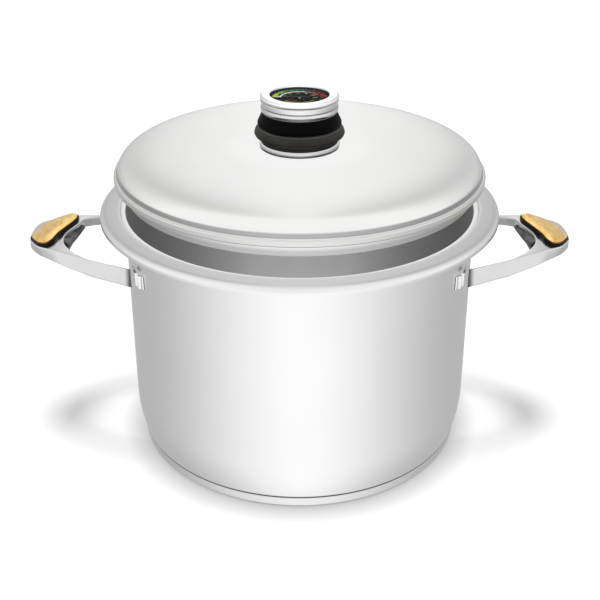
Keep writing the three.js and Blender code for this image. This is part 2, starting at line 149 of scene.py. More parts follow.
def catmull(points, closed, samples):
    """A centripetal Catmull-Rom curve through the points, evenly spaced in parameter."""
    points = [Vector(p) for p in points]
    count = len(points)
    spans = count if closed else count - 1
    result = []
    for s in range(samples if closed else samples + 1):
        t = s / samples * spans
        k = min(int(t), spans - 1)
        w = t - k
        if closed:
            p0, p1, p2, p3 = (points[(k + j) % count] for j in (-1, 0, 1, 2))
        else:
            p1, p2 = points[k], points[k + 1]
            p0 = points[k - 1] if k > 0 else p1 * 2 - p2
            p3 = points[k + 2] if k + 2 < count else p2 * 2 - p1
        d0, d1, d2 = ((b - a).length ** 0.5 for a, b in ((p0, p1), (p1, p2), (p2, p3)))
        d1 = d1 or 1.0
        d0, d2 = d0 or d1, d2 or d1
        m1 = ((p1 - p0) / d0 - (p2 - p0) / (d0 + d1) + (p2 - p1) / d1) * d1
        m2 = ((p2 - p1) / d1 - (p3 - p1) / (d1 + d2) + (p3 - p2) / d2) * d1
        result.append(p1 * (2 * w ** 3 - 3 * w ** 2 + 1) + m1 * (w ** 3 - 2 * w ** 2 + w)
                      + p2 * (3 * w ** 2 - 2 * w ** 3) + m2 * (w ** 3 - w ** 2))
    return result


# ---------------------------------------------------------------- meshes

class Shape:
    """Vertices in millimetres and faces, gathered before they become a mesh."""

    def __init__(self):
        self.vertices = []
        self.faces = []

    def rings(self, rows, closed=False):
        """Skins rows of equally many points. The ends are capped unless the rows close on themselves."""
        start = len(self.vertices)
        count = len(rows[0])
        for row in rows:
            self.vertices.extend(tuple(point) for point in row)
        total = len(rows)
        for s in range(total if closed else total - 1):
            for k in range(count):
                a = start + s * count + k
                b = start + s * count + (k + 1) % count
                c = start + ((s + 1) % total) * count + (k + 1) % count
                d = start + ((s + 1) % total) * count + k
                self.faces.append((a, b, c, d))
        if not closed:
            self.faces.append(tuple(range(start, start + count))[::-1])
            last = start + (total - 1) * count
            self.faces.append(tuple(range(last, last + count)))
        return self

    def mirrored(self, x=1, y=1):
        """A copy, turned over across the planes whose factor is -1."""
        copy = Shape()
        copy.vertices = [(p[0] * x, p[1] * y, p[2]) for p in self.vertices]
        copy.faces = [face[::-1] if x * y < 0 else face for face in self.faces]
        return copy

    def add(self, other):
        """Takes in another shape."""
        start = len(self.vertices)
        self.vertices.extend(other.vertices)
        self.faces.extend(tuple(start + v for v in face) for face in other.faces)
        return self


def revolve(outline, segments=KNOB_SEGMENTS, lift=0.0):
    """Turns a closed (radius, height) outline about the Z axis."""
    rows = []
    for s in range(segments):
        angle = 2 * math.pi * s / segments
        rows.append([(r * math.cos(angle), r * math.sin(angle), z + lift) for r, z in outline])
    return Shape().rings(rows, closed=True)


def to_mesh(name, shape, angle=SMOOTH_ANGLE):
    """Makes a mesh with its faces pointing out, smooth up to the given angle in degrees."""
    mesh = bpy.data.meshes.new(name)
    mesh.from_pydata([[c * MM for c in v] for v in shape.vertices], [], shape.faces)
    bm = bmesh.new()
    bm.from_mesh(mesh)
    bmesh.ops.remove_doubles(bm, verts=bm.verts, dist=2e-6)
    bmesh.ops.dissolve_degenerate(bm, edges=bm.edges, dist=1e-7)
    bmesh.ops.recalc_face_normals(bm, faces=bm.faces)
    bm.to_mesh(mesh)
    bm.free()
    mesh.polygons.foreach_set("use_smooth", [True] * len(mesh.polygons))
    mesh.set_sharp_from_angle(angle=math.radians(angle))
    return mesh


def place(name, data):
    """Puts a new object into the scene."""
    obj = bpy.data.objects.new(name, data)
    bpy.context.scene.collection.objects.link(obj)
    return obj


# The shells and the base let light through, so the inside and the floor round the base stay bright.
CLEAR_SHADOW = ("pot_shell", "lid_shell", "base_cap", "base_core")


def piece(node, shape, materials, body, angle=SMOOTH_ANGLE):
    """Makes the fine piece that stands for a CAD node.

    Only the pot shows in reflections, so the lid and the knob leave no mirror image on the steel.
    """
    mesh = to_mesh(node + "_fine", shape, angle)
    obj = place(node + "_fine", mesh)
    for material in materials if isinstance(materials, list) else [materials]:
        mesh.materials.append(material)
    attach(obj, body)
    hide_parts(node)
    obj.visible_shadow = node not in CLEAR_SHADOW
    obj.visible_glossy = body == "pot"
    return obj


# ---------------------------------------------------------------- materials

# Depths of the bump textures, in metres
FINE_GRAIN = 0.00002
MOULD_GRAIN = 0.00003


class Nodes:
    """A small wrapper that keeps a material's or a world's node tree readable."""

    def __init__(self, owner, shader="Principled BSDF", coords="Object"):
        owner.use_nodes = True
        self.owner = owner
        self.tree = owner.node_tree
        self.shader = self.tree.nodes[shader]
        self.coords = self.tree.nodes.new("ShaderNodeTexCoord").outputs[coords]

    def set(self, **values):
        """Sets the shader's inputs, named with _ for a space."""
        for key, value in values.items():
            self.shader.inputs[key.replace("_", " ")].default_value = value
        return self

    def feed(self, **sources):
        """Links sockets to the shader's inputs, named with _ for a space."""
        for key, source in sources.items():
            self.link(source, self.shader.inputs[key.replace("_", " ")])
        return self

    def fed(self, key):
        """The socket that one of the shader's inputs is linked to."""
        return self.shader.inputs[key].links[0].from_socket

    def link(self, source, target):
        self.tree.links.new(source, target)

    def put(self, value, target):
        """Sets an input to a number, or links a socket to it."""
        if isinstance(value, (int, float)):
            target.default_value = value
        else:
            self.link(value, target)

    def math(self, operation, a, b=0.0):
        node = self.tree.nodes.new("ShaderNodeMath")
        node.operation = operation
        for value, target in zip((a, b), node.inputs):
            self.put(value, target)
        return node.outputs[0]

    def split(self, vector):
        node = self.tree.nodes.new("ShaderNodeSeparateXYZ")
        self.link(vector, node.inputs[0])
        return node.outputs

    def join(self, x, y, z):
        node = self.tree.nodes.new("ShaderNodeCombineXYZ")
        for value, target in zip((x, y, z), node.inputs):
            self.put(value, target)
        return node.outputs[0]

    def stretched(self, x, y, z):
        """The object's coordinates, scaled along each axis."""
        node = self.tree.nodes.new("ShaderNodeMapping")
        node.inputs["Scale"].default_value = (x, y, z)
        self.link(self.coords, node.inputs["Vector"])
        return node.outputs[0]

    def noise(self, vector, scale, detail):
        node = self.tree.nodes.new("ShaderNodeTexNoise")
        node.inputs["Scale"].default_value = scale
        node.inputs["Detail"].default_value = detail
        node.inputs["Roughness"].default_value = 0.55
        self.link(vector, node.inputs["Vector"])
        return node.outputs["Fac"]

    def ramp(self, factor, *stops):
        """Colours by a factor, with stops of (position, colour)."""
        node = self.tree.nodes.new("ShaderNodeValToRGB")
        elements = node.color_ramp.elements
        while len(elements) < len(stops):
            elements.new(0.5)
        for element, (position, colour) in zip(elements, stops):
            element.position = position
            element.color = (*colour, 1)
        self.link(factor, node.inputs["Fac"])
        return node.outputs["Color"]

    def spread(self, factor, low, high, out_low, out_high):
        """Maps low to high onto out_low to out_high, and keeps to those beyond."""
        node = self.tree.nodes.new("ShaderNodeMapRange")
        for key, value in zip(("From Min", "From Max", "To Min", "To Max"), (low, high, out_low, out_high)):
            node.inputs[key].default_value = value
        self.link(factor, node.inputs["Value"])
        return node.outputs["Result"]

    def tint(self, colour, amount):
        """Scales a colour by a number."""
        node = self.tree.nodes.new("ShaderNodeVectorMath")
        node.operation = "SCALE"
        self.link(colour, node.inputs[0])
        self.link(amount, node.inputs["Scale"])
        return node.outputs[0]

    def bump(self, height, strength, distance):
        """A texture too fine to model, with its depth in metres."""
        node = self.tree.nodes.new("ShaderNodeBump")
        node.inputs["Strength"].default_value = strength
        node.inputs["Distance"].default_value = distance
        self.link(height, node.inputs["Height"])
        return self.feed(Normal=node.outputs["Normal"])

    def radius(self):
        """The distance from the Z axis."""
        x, y, _ = self.split(self.coords)
        squares = self.math("ADD", self.math("MULTIPLY", x, x), self.math("MULTIPLY", y, y))
        return self.math("SQRT", squares)


def new_material(name, **values):
    """The nodes of a new material, with the values of its shader."""
    return Nodes(bpy.data.materials.new(name)).set(**values)


def spun_steel(name, colour, dark, roughness, line_scale=2600, marks=()):
    """Steel turned on a lathe: fine rings round the axis, faint smudges and hairline scratches.

    Each mark is (axis, centre, half width, tone): a band darkened where the radius or height passes, which is
    painted shade or a dark seam.
    """
    n = new_material(name, Metallic=1.0)
    x, y, z = n.split(n.coords)
    radius = n.radius()
    across = n.math("MULTIPLY", n.math("ADD", radius, z), line_scale)
    rings = n.noise(n.join(n.math("MULTIPLY", x, 9), n.math("MULTIPLY", y, 9), across), 1.0, 4)
    smudge = n.noise(n.coords, 14, 4)
    scratch = n.noise(n.stretched(900, 40, 320), 1.0, 2)
    tone = n.ramp(smudge, (0.3, dark), (0.7, colour))
    for axis, centre, half, depth in marks:
        where = radius if axis == "radius" else z
        off = n.math("ABSOLUTE", n.math("SUBTRACT", where, centre * MM))
        tone = n.tint(tone, n.spread(off, half * 0.6 * MM, half * 1.2 * MM, depth, 1.0))
    mixed = n.math("ADD", n.math("MULTIPLY", rings, 0.7), n.math("MULTIPLY", smudge, 0.3))
    n.feed(Base_Color=tone, Roughness=n.spread(mixed, 0.3, 0.7, *roughness))
    return n.bump(n.math("ADD", rings, n.math("MULTIPLY", scratch, 0.25)), 0.12, FINE_GRAIN)


def polish(n, roughness, grain=(700, 60, 700)):
    """Gives a metal faint polishing lines and handling marks. Returns the marks."""
    smudge = n.noise(n.coords, 60, 4)
    lines = n.noise(n.stretched(*grain), 1.0, 3)
    mixed = n.math("ADD", n.math("MULTIPLY", lines, 0.5), n.math("MULTIPLY", smudge, 0.5))
    n.feed(Roughness=n.spread(mixed, 0.3, 0.7, *roughness))
    n.bump(lines, 0.05, FINE_GRAIN)
    return smudge


def polished_metal(name, colour, dark, roughness):
    """Buffed metal, darker where it has been handled."""
    n = new_material(name, Metallic=1.0)
    smudge = polish(n, roughness)
    return n.feed(Base_Color=n.ramp(smudge, (0.3, dark), (0.72, colour)))


def plastic(name, colour, light, roughness, grain=1400, strength=0.15, ior=1.5):
    """Moulded plastic or rubber: fine texture, slightly paler where it is rubbed. On the liner the pale
    patches are painted highlights.
    """
    n = new_material(name, IOR=ior)
    wear_and_sheen = n.noise(n.coords, 90, 3)
    texture = n.noise(n.coords, grain, 2)
    n.feed(Base_Color=n.ramp(wear_and_sheen, (0.35, colour), (0.75, light)),
           Roughness=n.spread(wear_and_sheen, 0.3, 0.7, *roughness))
    return n.bump(texture, strength, MOULD_GRAIN).owner


def glass(name):
    """Thin clear glass that lets the dial show, with faint dust."""
    n = new_material(name, Base_Color=(0.02, 0.02, 0.02, 1), Alpha=0.08, IOR=1.2)
    dust = n.noise(n.coords, 260, 4)
    return n.feed(Roughness=n.spread(dust, 0.45, 0.75, 0.02, 0.08)).owner


def ink(name, colour):
    """Printed ink with a slight mottle."""
    n = new_material(name, Roughness=0.45, IOR=1.0)
    mottle = n.noise(n.coords, 1500, 2)
    pale = tuple(min(1, c * 1.25 + 0.0005) for c in colour)
    return n.feed(Base_Color=n.ramp(mottle, (0.3, colour), (0.7, pale))).owner


def pot_steel():
    """The body: a satin inside with painted shade that darkens it towards its sides, painted shade on the
    flange under the lid's edge, and a dark line at the base.
    """
    flange, half_flange = 130, 6.5
    floor_bore, wall_bore, throat = 0.108, 0.12045, 0.1755
    side_start, side_end = 0.04, 0.115
    # The flange band is painted shade under the lid's overhanging edge; the band at BASE_Z is the dark seam
    # of the base.
    marks = [("radius", flange, half_flange, 0.7), ("height", BASE_Z, 0.5, 0.75)]
    n = spun_steel("body_steel", (0.80, 0.80, 0.80), (0.77, 0.77, 0.775), (0.2, 0.28), marks=marks)
    x, _, z = n.split(n.coords)
    bore = n.spread(z, (BELLY_Z + 1) * MM, (BELLY_Z + 2) * MM, floor_bore, wall_bore)
    inside = n.math("MULTIPLY", n.math("LESS_THAN", n.radius(), bore), n.math("LESS_THAN", z, throat))
    satin = n.math("ADD", n.fed("Roughness"), n.math("MULTIPLY", inside, 0.28))
    # Painted light and shade: the inside is a little lighter in the middle and much darker towards its sides.
    painted_side_shade = n.spread(n.math("ABSOLUTE", x), side_start, side_end, 0.04, -0.62)
    tone = n.tint(n.fed("Base Color"), n.math("ADD", 1.0, n.math("MULTIPLY", inside, painted_side_shade)))
    return n.feed(Roughness=satin, Base_Color=tone).owner


def lid_steel():
    """The lid: painted shade as a dark line in the crease, a greyer rolled edge and a darker skirt."""
    # All three bands are painted shade: in the crease, on the rolled edge and on the skirt under the lid.
    marks = [("radius", CREASE_RADIUS, 0.55, 0.5), ("radius", LID_RADIUS, 1.3, 0.82),
             ("height", LID_BASE - SKIRT_DEPTH, 5.4, 0.6)]
    return spun_steel("lid_steel", (0.80, 0.80, 0.79), (0.77, 0.77, 0.765), (0.2, 0.27), 2200, marks).owner


def strap_steel():
    """The handles: polished, with painted shade that darkens them from the pot to a slanting line round its
    axis, where the strap's end meets the bracket.
    """
    slant, dark_end, light_start = 0.164, 0.1488, 0.1512
    n = polished_metal("strap_steel", (0.66, 0.66, 0.66), (0.61, 0.61, 0.615), (0.16, 0.26))
    _, _, z = n.split(n.coords)
    # Painted shade: the strap's end by the bracket is darkened as if shaded in the gap beside the wall.
    reach = n.math("ADD", n.radius(), n.math("MULTIPLY", z, slant))
    tone = n.tint(n.fed("Base Color"), n.spread(reach, dark_end, light_start, 0.16, 1.0))
    return n.feed(Base_Color=tone).owner


def turned_chrome(name, colour, dark, shade_bands):
    """Plain chrome with bands of painted shade, each (height above LID_BASE, half width, tone)."""
    n = polished_metal(name, colour, dark, (0.06, 0.13))
    _, _, z = n.split(n.coords)
    tone = n.fed("Base Color")
    for height, half, depth in shade_bands:
        off = n.math("ABSOLUTE", n.math("SUBTRACT", z, (LID_BASE + height) * MM))
        tone = n.tint(tone, n.spread(off, half * 0.6 * MM, half * 1.4 * MM, depth, 1.0))
    return n.feed(Base_Color=tone).owner


def plated_gold():
    """Gold plate with warm streaks."""
    n = new_material("plated_gold", Metallic=1.0)
    polish(n, (0.12, 0.24), (60, 700, 700))
    streaks = n.noise(n.stretched(260, 90, 90), 1.0, 3)
    tone = n.ramp(streaks, (0.3, (0.80, 0.47, 0.12)), (0.5, (0.92, 0.60, 0.19)), (0.7, (0.98, 0.76, 0.36)))
    return n.feed(Base_Color=tone).owner


BODY_STEEL = pot_steel()
LID_STEEL = lid_steel()
BASE_STEEL = spun_steel("base_steel", (0.70, 0.70, 0.705), (0.66, 0.66, 0.67), (0.16, 0.24), 3200,
                        [("height", BASE_Z - 0.2, 0.6, 0.8)]).owner
STRAP_STEEL = strap_steel()
BRACKET_STEEL = polished_metal("bracket_steel", (0.80, 0.80, 0.80), (0.74, 0.74, 0.745),
                               (0.14, 0.24)).owner
RING_STEEL = polished_metal("ring_steel", (0.62, 0.62, 0.62), (0.56, 0.56, 0.56), (0.1, 0.2)).owner
# Painted shade on the case: in its turned groove and on its rounded foot above the grip.
CASE_CHROME = turned_chrome("case_chrome", (0.74, 0.74, 0.735), (0.68, 0.68, 0.68),
                            [(48.3, 0.5, 0.5), (44.2, 1.2, 0.5)])
GOLD = plated_gold()
# A shaded copy of the gold: painted shade on the gold plate's sloping rim.
GOLD_SHADED_RIM = polished_metal("gold_rim_painted_shade", (0.30, 0.15, 0.03), (0.20, 0.09, 0.02), (0.2, 0.3)).owner
BRIGHT_STEEL = polished_metal("bright_steel", (0.86, 0.86, 0.86), (0.80, 0.80, 0.80), (0.08, 0.16)).owner
# Painted shade on the bezel: a dark band on its foot over the case.
CHROME = turned_chrome("gauge_chrome", (0.92, 0.92, 0.92), (0.88, 0.88, 0.88), [(52.6, 1.1, 0.62)])
CORE_ALUMINIUM = polished_metal("core_aluminium", (0.70, 0.71, 0.72), (0.62, 0.63, 0.64),
                                (0.4, 0.55)).owner
COIL_BRASS = polished_metal("coil_brass", (0.72, 0.52, 0.24), (0.6, 0.42, 0.18), (0.25, 0.4)).owner
GRIP_BLACK = plastic("grip_black", (0.003, 0.003, 0.003), (0.006, 0.006, 0.006), (0.12, 0.25), 900, 0.05,
                     ior=1.2)
# The liner's pale patches are painted highlights on its glossy black.
LINER_BLACK = plastic("liner_black", (0.002, 0.002, 0.002), (0.10, 0.10, 0.105), (0.06, 0.2), 500, 0.1,
                      ior=1.4)
KNOB_BLACK = plastic("knob_black", (0.0004, 0.0004, 0.0004), (0.001, 0.001, 0.001), (0.42, 0.55), 1600, 0.2,
                     ior=1.12)
COLLAR_GREY = plastic("collar_grey", (0.018, 0.017, 0.015), (0.026, 0.025, 0.022), (0.38, 0.52), 1500, 0.2,
                      ior=1.2)
SEAL_RUBBER = plastic("seal_rubber", (0.02, 0.02, 0.021), (0.035, 0.035, 0.036), (0.6, 0.75))
SPACER = plastic("spacer_plastic", (0.01, 0.01, 0.01), (0.02, 0.02, 0.02), (0.4, 0.6))
LENS_GLASS = glass("gauge_glass")


# ---------------------------------------------------------------- pot

def wall_radius(z):
    """The outer radius of the body, which narrows through the belly."""
    t = max(0.0, min(1.0, (BELLY_Z - z) / (BELLY_Z - BASE_Z)))
    return BODY_RADIUS - (BODY_RADIUS - FOOT_RADIUS) * t * t


def pot_shell():
    """Floor, belly, wall, lid groove, flange and rolled lip, from the axis outwards."""
    half = STEEL_THICKNESS / 2
    throat = RIM_Z - 1.7
    lip = RIM_RADIUS - half
    belly = [(wall_radius(z) - half, z) for z in range(12, 37, 2)]
    line = rounded([
        (0, BASE_Z + half),
        (wall_radius(9) - half, BASE_Z + half, 1.6),
        *belly,
        (BODY_RADIUS - half, BELLY_Z),
        (BODY_RADIUS - half, throat, 1.2),
        (123.6, throat, 0.6),
        (124.6, RIM_Z - half, 0.6),
        (lip, RIM_Z - half, 4),
        (lip, RIM_Z - 5),
    ], closed=False, steps=10)
    return revolve(sheet(line), SEGMENTS)


def base_core():
    """The disc that spreads the heat."""
    radius = FOOT_RADIUS - STEEL_THICKNESS - 0.5
    top = BASE_Z - GAP
    return revolve(rounded([
        (0, 1.2), (radius - 1.6, 1.2, 0.8), (radius, 2.8, 0.8), (radius, top), (0, top),
    ]), SEGMENTS)


def base_cap():
    """The steel cap over the disc, with rings turned into its underside."""
    outer = FOOT_RADIUS + 0.2
    inner = outer - STEEL_THICKNESS
    top = BASE_Z - GAP
    grooves = []
    for radius in (22, 46, 70, 94):
        grooves += [(radius, 0), (radius + 0.4, 0.25), (radius + 1.2, 0.25), (radius + 1.6, 0)]
    return revolve(rounded([
        (0, 0), *grooves, (outer, 0, 2.6), (outer, top, 0.3), (inner, top, 0.3), (inner, 0.9, 1.8), (0, 0.9),
    ]), SEGMENTS)


# ---------------------------------------------------------------- handles

# Outer and inner edge in plan, how far the faces lean, and the heights of the four corners
# from the outer lower edge round.
STRAP_STATIONS = [
    ((112.4, 55.4), (113.7, 48), 4.6, 4.6, (-41, -29.8, -30.9, -42.1)),
    ((130.6, 48.8), (130.3, 41), 5.8, 5.8, (-39, -29.2, -30.7, -40)),
    ((144, 43.2), (144.6, 33.8), 7.4, 7.7, (-37.5, -29, -30.5, -38.8)),
    ((157.6, 36.1), (156.9, 24.6), 5.4, 4.5, (-36.4, -28, -28.2, -36)),
    ((171.3, 26.8), (162, 18), 1.6, 1.5, (-34.9, -27.2, -27, -33.4)),
    ((182.6, 17.2), (165, 10.4), -2.2, 0.5, (-34.5, -26.7, -26.6, -31.8)),
    ((191.2, 0), (165.5, 0), 0.6, 0.2, (-35.2, -27.4, -26.2, -31.4)),
]

# How far the back half stands out, rises and reaches in compared with the front half.
BACK_HALF = [(0, 0, 0), (1, 1.1, 0), (1.9, 1.6, 0), (3, 2.4, 0.5), (3, 2, 4.4), (2.6, 1.1, 3.2), (0, 0, 0.3)]


def station_corners(order, side):
    """The four corners of the strap at a station, on the back half where side is 1."""
    outer, inner, lean, cut, heights = STRAP_STATIONS[order]
    outer = Vector((outer[0], side * outer[1]))
    inner = Vector((inner[0], side * inner[1]))
    inward = (inner - outer).normalized()
    out, up, reach = BACK_HALF[order] if side > 0 else (0, 0, 0)
    plan = [outer - inward * out, outer + inward * (lean - out), inner + inward * reach,
            inner + inward * (reach - cut)]
    return [Vector((p.x, p.y, RIM_Z + z + up)) for p, z in zip(plan, heights)]


def round_section(corners, radius):
    """Rounds a section's corners with quadratic curves."""
    steps = 5
    outline = []
    for i, corner in enumerate(corners):
        before, after = corners[i - 1], corners[(i + 1) % len(corners)]
        back = min(radius, (corner - before).length * 0.42)
        ahead = min(radius, (corner - after).length * 0.42)
        start = corner + (before - corner).normalized() * back
        end = corner + (after - corner).normalized() * ahead
        for k in range(steps + 1):
            t = k / steps
            outline.append(start * (1 - t) ** 2 + corner * 2 * t * (1 - t) + end * t ** 2)
    return outline


def strap():
    """The bent loop, from the front bracket round to the back one."""
    count = len(STRAP_STATIONS)
    rows = [station_corners(k, -1) for k in range(count)]
    rows += [station_corners(k, 1) for k in range(count - 2, -1, -1)]
    samples = 200
    edges = [catmull([row[k] for row in rows], False, samples) for k in range(4)]
    sections = [round_section([edge[s] for edge in edges], BAND * 0.4) for s in range(samples + 1)]
    return Shape().rings(sections)


# The outline of the tray in plan, and the line along which the gold plate is highest
LEAF = [
    (189.7, -4.6), (188, 5), (184.4, 15.8), (179.2, 22.8), (172.6, 27.2), (165.4, 29.2), (161.2, 27.2),
    (159.9, 20.6), (161.7, 13), (165.2, 4.8), (169.2, -5.6), (171.3, -15.4), (174.8, -20.6), (180.4, -19.6),
    (186.8, -11.6),
]
LEAF_SPINE = [(178.6, -13), (177.4, -3), (174, 8), (169.6, 18), (165.4, 24)]


def inset_outline(points, inset):
    """Moves a counter-clockwise outline inwards."""
    count = len(points)
    moved = []
    for i, point in enumerate(points):
        along = (points[(i + 1) % count] - points[i - 1]).normalized()
        moved.append(Vector((point.x - along.y * inset, point.y + along.x * inset)))
    return moved


def leaf(inset):
    """The smooth outline of the tray, moved inwards."""
    points = [Vector(p[:2]) for p in catmull([(x, y, 0) for x, y in LEAF], True, 180)]
    return inset_outline(points, inset)


def plate_point(point, level):
    """A point on the tray, whose rim falls away outwards."""
    return point.x, point.y, RIM_Z + PLATE_Z + level + PLATE_FALL * (point.x - 170)


def grip_insert():
    """The black tray let into the top of the strap."""
    low = -PLATE_LIFT - POCKET_DEPTH + GAP
    levels = [(0.5, low), (0.1, low + 0.25), (0, low + 0.7), (0, -1.15), (0.06, -0.8), (0.2, -0.52),
              (0.42, -0.36), (0.66, -0.32), (0.86, -0.4), (0.93, -0.58), (0.93, -0.95)]
    return Shape().rings([[plate_point(p, level) for p in leaf(inset)] for inset, level in levels])


def nearest_on_spine(point):
    """The closest point of the leaf's spine."""
    best = None
    for a, b in zip(LEAF_SPINE, LEAF_SPINE[1:]):
        a, b = Vector(a), Vector(b)
        t = max(0.0, min(1.0, (point - a).dot(b - a) / (b - a).length_squared))
        spot = a + (b - a) * t
        if best is None or (point - spot).length < (point - best).length:
            best = spot
    return best


def grip_plate():
    """The gold plate, crowned from its rounded rim to its spine."""
    crown, steps, reach = 1.5, 12, 0.97
    rim = [(1.02, -0.6), (1.02, 0.2), (1.08, 0.42), (1.25, 0.6), (1.55, 0.7)]
    rows = [[plate_point(p, level) for p in leaf(inset)] for inset, level in rim]
    edge_inset, edge_height = rim[-1]
    edge = leaf(edge_inset)
    targets = [nearest_on_spine(p) for p in edge]
    for k in range(1, steps + 1):
        t = k / steps * reach
        height = edge_height + crown * (1 - (1 - t) ** 2)
        rows.append([plate_point(p.lerp(q, t), height) for p, q in zip(edge, targets)])
    return Shape().rings(rows)


def stack(outline, lower, upper, top):
    """Rings of an outline at (inset, height) levels: the lower ones from RIM_Z, the upper ones from top."""
    rows = []
    for inset, height in lower:
        rows.append([(p.x, p.y, RIM_Z + height) for p in inset_outline(outline, inset)])
    for inset, height in upper:
        rows.append([(p.x, p.y, top(p) + height) for p in inset_outline(outline, inset)])
    return Shape().rings(rows)


def lip_top(point):
    """The top of the liner's lip, which falls towards the pot."""
    return RIM_Z - 27.6 - 0.3 * max(0, 164.4 - point.x)


def sole_top(point):
    """The top of the liner's sole, which follows the underside of the strap."""
    return RIM_Z - 31.2 - 0.15 * (point.x - 164.5)


def grip_liner():
    """The black pad under the strap: a lip on its pot side and a sole that joins it."""
    lip = rounded([
        (167, -8, 1), (163.6, -10.8, 1), (161.3, -14, 0.8), (158.2, 4.4, 20), (156, 22.5, 1.6),
        (158, 25, 1.2), (167, 13, 1),
    ], steps=10)[::-1]
    sole = rounded([
        (163.6, -15, 2), (172, -17.5, 4), (184, -7, 6), (184, 7, 6), (172, 17.5, 4), (162.6, 17, 2),
    ], steps=8)
    lip_shape = stack(lip, [(0.5, -31.5), (0.15, -31.35), (0, -31.0)], [(0, -0.8), (0.15, -0.35), (0.6, 0)],
                      lip_top)
    sole_shape = stack(sole, [(1.4, -38), (0.5, -37.8), (0.1, -37.3), (0, -36.6)], [(0, -0.4), (0.5, 0)],
                       sole_top)
    return lip_shape.add(sole_shape)


def circle(radius, height, count, centre=(0, 0)):
    """Points round a level circle."""
    turns = [2 * math.pi * k / count for k in range(count)]
    return [(centre[0] + radius * math.cos(turn), centre[1] + radius * math.sin(turn), height)
            for turn in turns]


def grip_screw(spot):
    """A screw from below, with a dished head."""
    levels = [(1.1, -37.2), (1.25, -37.8), (1.5, -38.02), (2.3, -37.95), (2.7, -37.6), (2.7, -36.8),
              (1, -36.8), (1, -29)]
    return Shape().rings([circle(radius, RIM_Z + height, 28, spot) for radius, height in levels])


def bracket():
    """The pad welded to the wall, with two folds that hold the end of the strap."""
    steps, back_steps = 150, 30
    sheet_depth, edge_rise, fold_rise, fold_width = 0.4, 0.5, 1.8, 0.55
    first, last = BRACKET_TURN - 5, BRACKET_TURN + 6
    folds = (BRACKET_TURN + 2, BRACKET_TURN + 4.4)
    outline = []
    for k in range(steps + 1):
        angle = first + (last - first) * k / steps
        edge = min(1, (angle - first) / 0.25, (last - angle) / 0.25)
        fold = sum(math.exp(-(((angle - f) / fold_width) ** 2)) for f in folds)
        rise = edge_rise * max(edge, 0) ** 0.5 + fold_rise * fold
        outline.append((angle, BODY_RADIUS + GAP + sheet_depth + rise))
    for k in range(back_steps, -1, -1):
        outline.append((first + (last - first) * k / back_steps, BODY_RADIUS + GAP))
    points = []
    for angle, radius in outline:
        azimuth = math.radians(-angle)
        points.append(Vector((radius * math.cos(azimuth), radius * math.sin(azimuth))))
    levels = [(0.35, 0), (0.1, 0.15), (0, 0.45), (0, BRACKET_HEIGHT - 0.45), (0.1, BRACKET_HEIGHT - 0.15),
              (0.35, BRACKET_HEIGHT)]
    centre_turn = math.radians(-BRACKET_TURN)
    outward = Vector((math.cos(centre_turn), math.sin(centre_turn)))
    rows = [[(p.x - outward.x * inset, p.y - outward.y * inset, RIM_Z + BRACKET_Z + z) for p in points]
            for inset, z in levels]
    return Shape().rings(rows)


# ---------------------------------------------------------------- lid

def dome_top(radius):
    """The height of the dome's upper side: flat on top, steep at the crease, dished under the knob."""
    flatness, shoulder = 13, 1.8
    dish_radius, dish_width = 28, 24
    reach = min(radius / CREASE_RADIUS, 1)
    bulge = (1 - reach ** flatness) ** (1 / shoulder)
    t = max(0.0, min(1.0, (radius - dish_radius) / dish_width))
    return CREASE_Z + DOME_RISE * bulge - SEAT_DIP * (1 - t * t * (3 - 2 * t))


def lid_shell():
    """Dome, crease, rolled edge and skirt, from the stud's hole outwards."""
    half = STEEL_THICKNESS / 2
    radii = [*range(44, 109, 2), *range(109, 121), 121, 121.8, 122.5, 123.1, 123.6, 123.9]
    outer = [Vector((r, dome_top(r))) for r in radii]
    dome = []
    for i, point in enumerate(outer):
        along = (outer[min(i + 1, len(outer) - 1)] - outer[max(i - 1, 0)]).normalized()
        dome.append(tuple(point + Vector((along.y, -along.x)) * half))
    edge = LID_RADIUS - half
    line = rounded([
        (5.8, KNOB_SEAT_Z - half),
        (28, KNOB_SEAT_Z - half),
        (34, dome_top(34) - half),
        (39, dome_top(39) - half),
        *dome,
        (123.55, CREASE_Z - 0.2),
        (edge, CREASE_Z - 1.6, 0.8),
        (edge, GAP + half, 1),
        (SKIRT_RADIUS - half, GAP + half, 0.8),
        (SKIRT_RADIUS - half, -7.8),
    ], closed=False, steps=8)
    return revolve(sheet(line), SEGMENTS, LID_BASE)


# ---------------------------------------------------------------- knob

def ring(corners, segments=KNOB_SEGMENTS):
    """A turned piece, from (radius, height above LID_BASE, rounding) rows."""
    return revolve(rounded(corners), segments, LID_BASE)


def knob_washer():
    return ring([(6, 19.6), (27, 19.6, 0.2), (27, 20.2, 0.2), (6, 20.2)])


def knob_base_ring():
    return ring([(6, 20.5), (27.2, 20.5, 0.5), (27.2, 22.8, 0.5), (6, 22.8)])


def knob_collar():
    """The neck, with its wider rim and the flat that the stud's head pulls down on."""
    return ring([
        (5.5, 23.1), (26.2, 23.1, 0.5), (26.4, 26.4, 0.5), (27.8, 27, 0.6), (30, 27.9, 0.9),
        (30.7, 29.5, 0.9), (30, 31.8, 0.9), (28.4, 33.3, 0.6), (11, 33.3), (11, 30.6), (5.5, 30.6),
    ])


def nut_washer():
    return ring([(5.5, 17.05), (11, 17.05, 0.2), (11, 18, 0.2), (5.5, 18)])


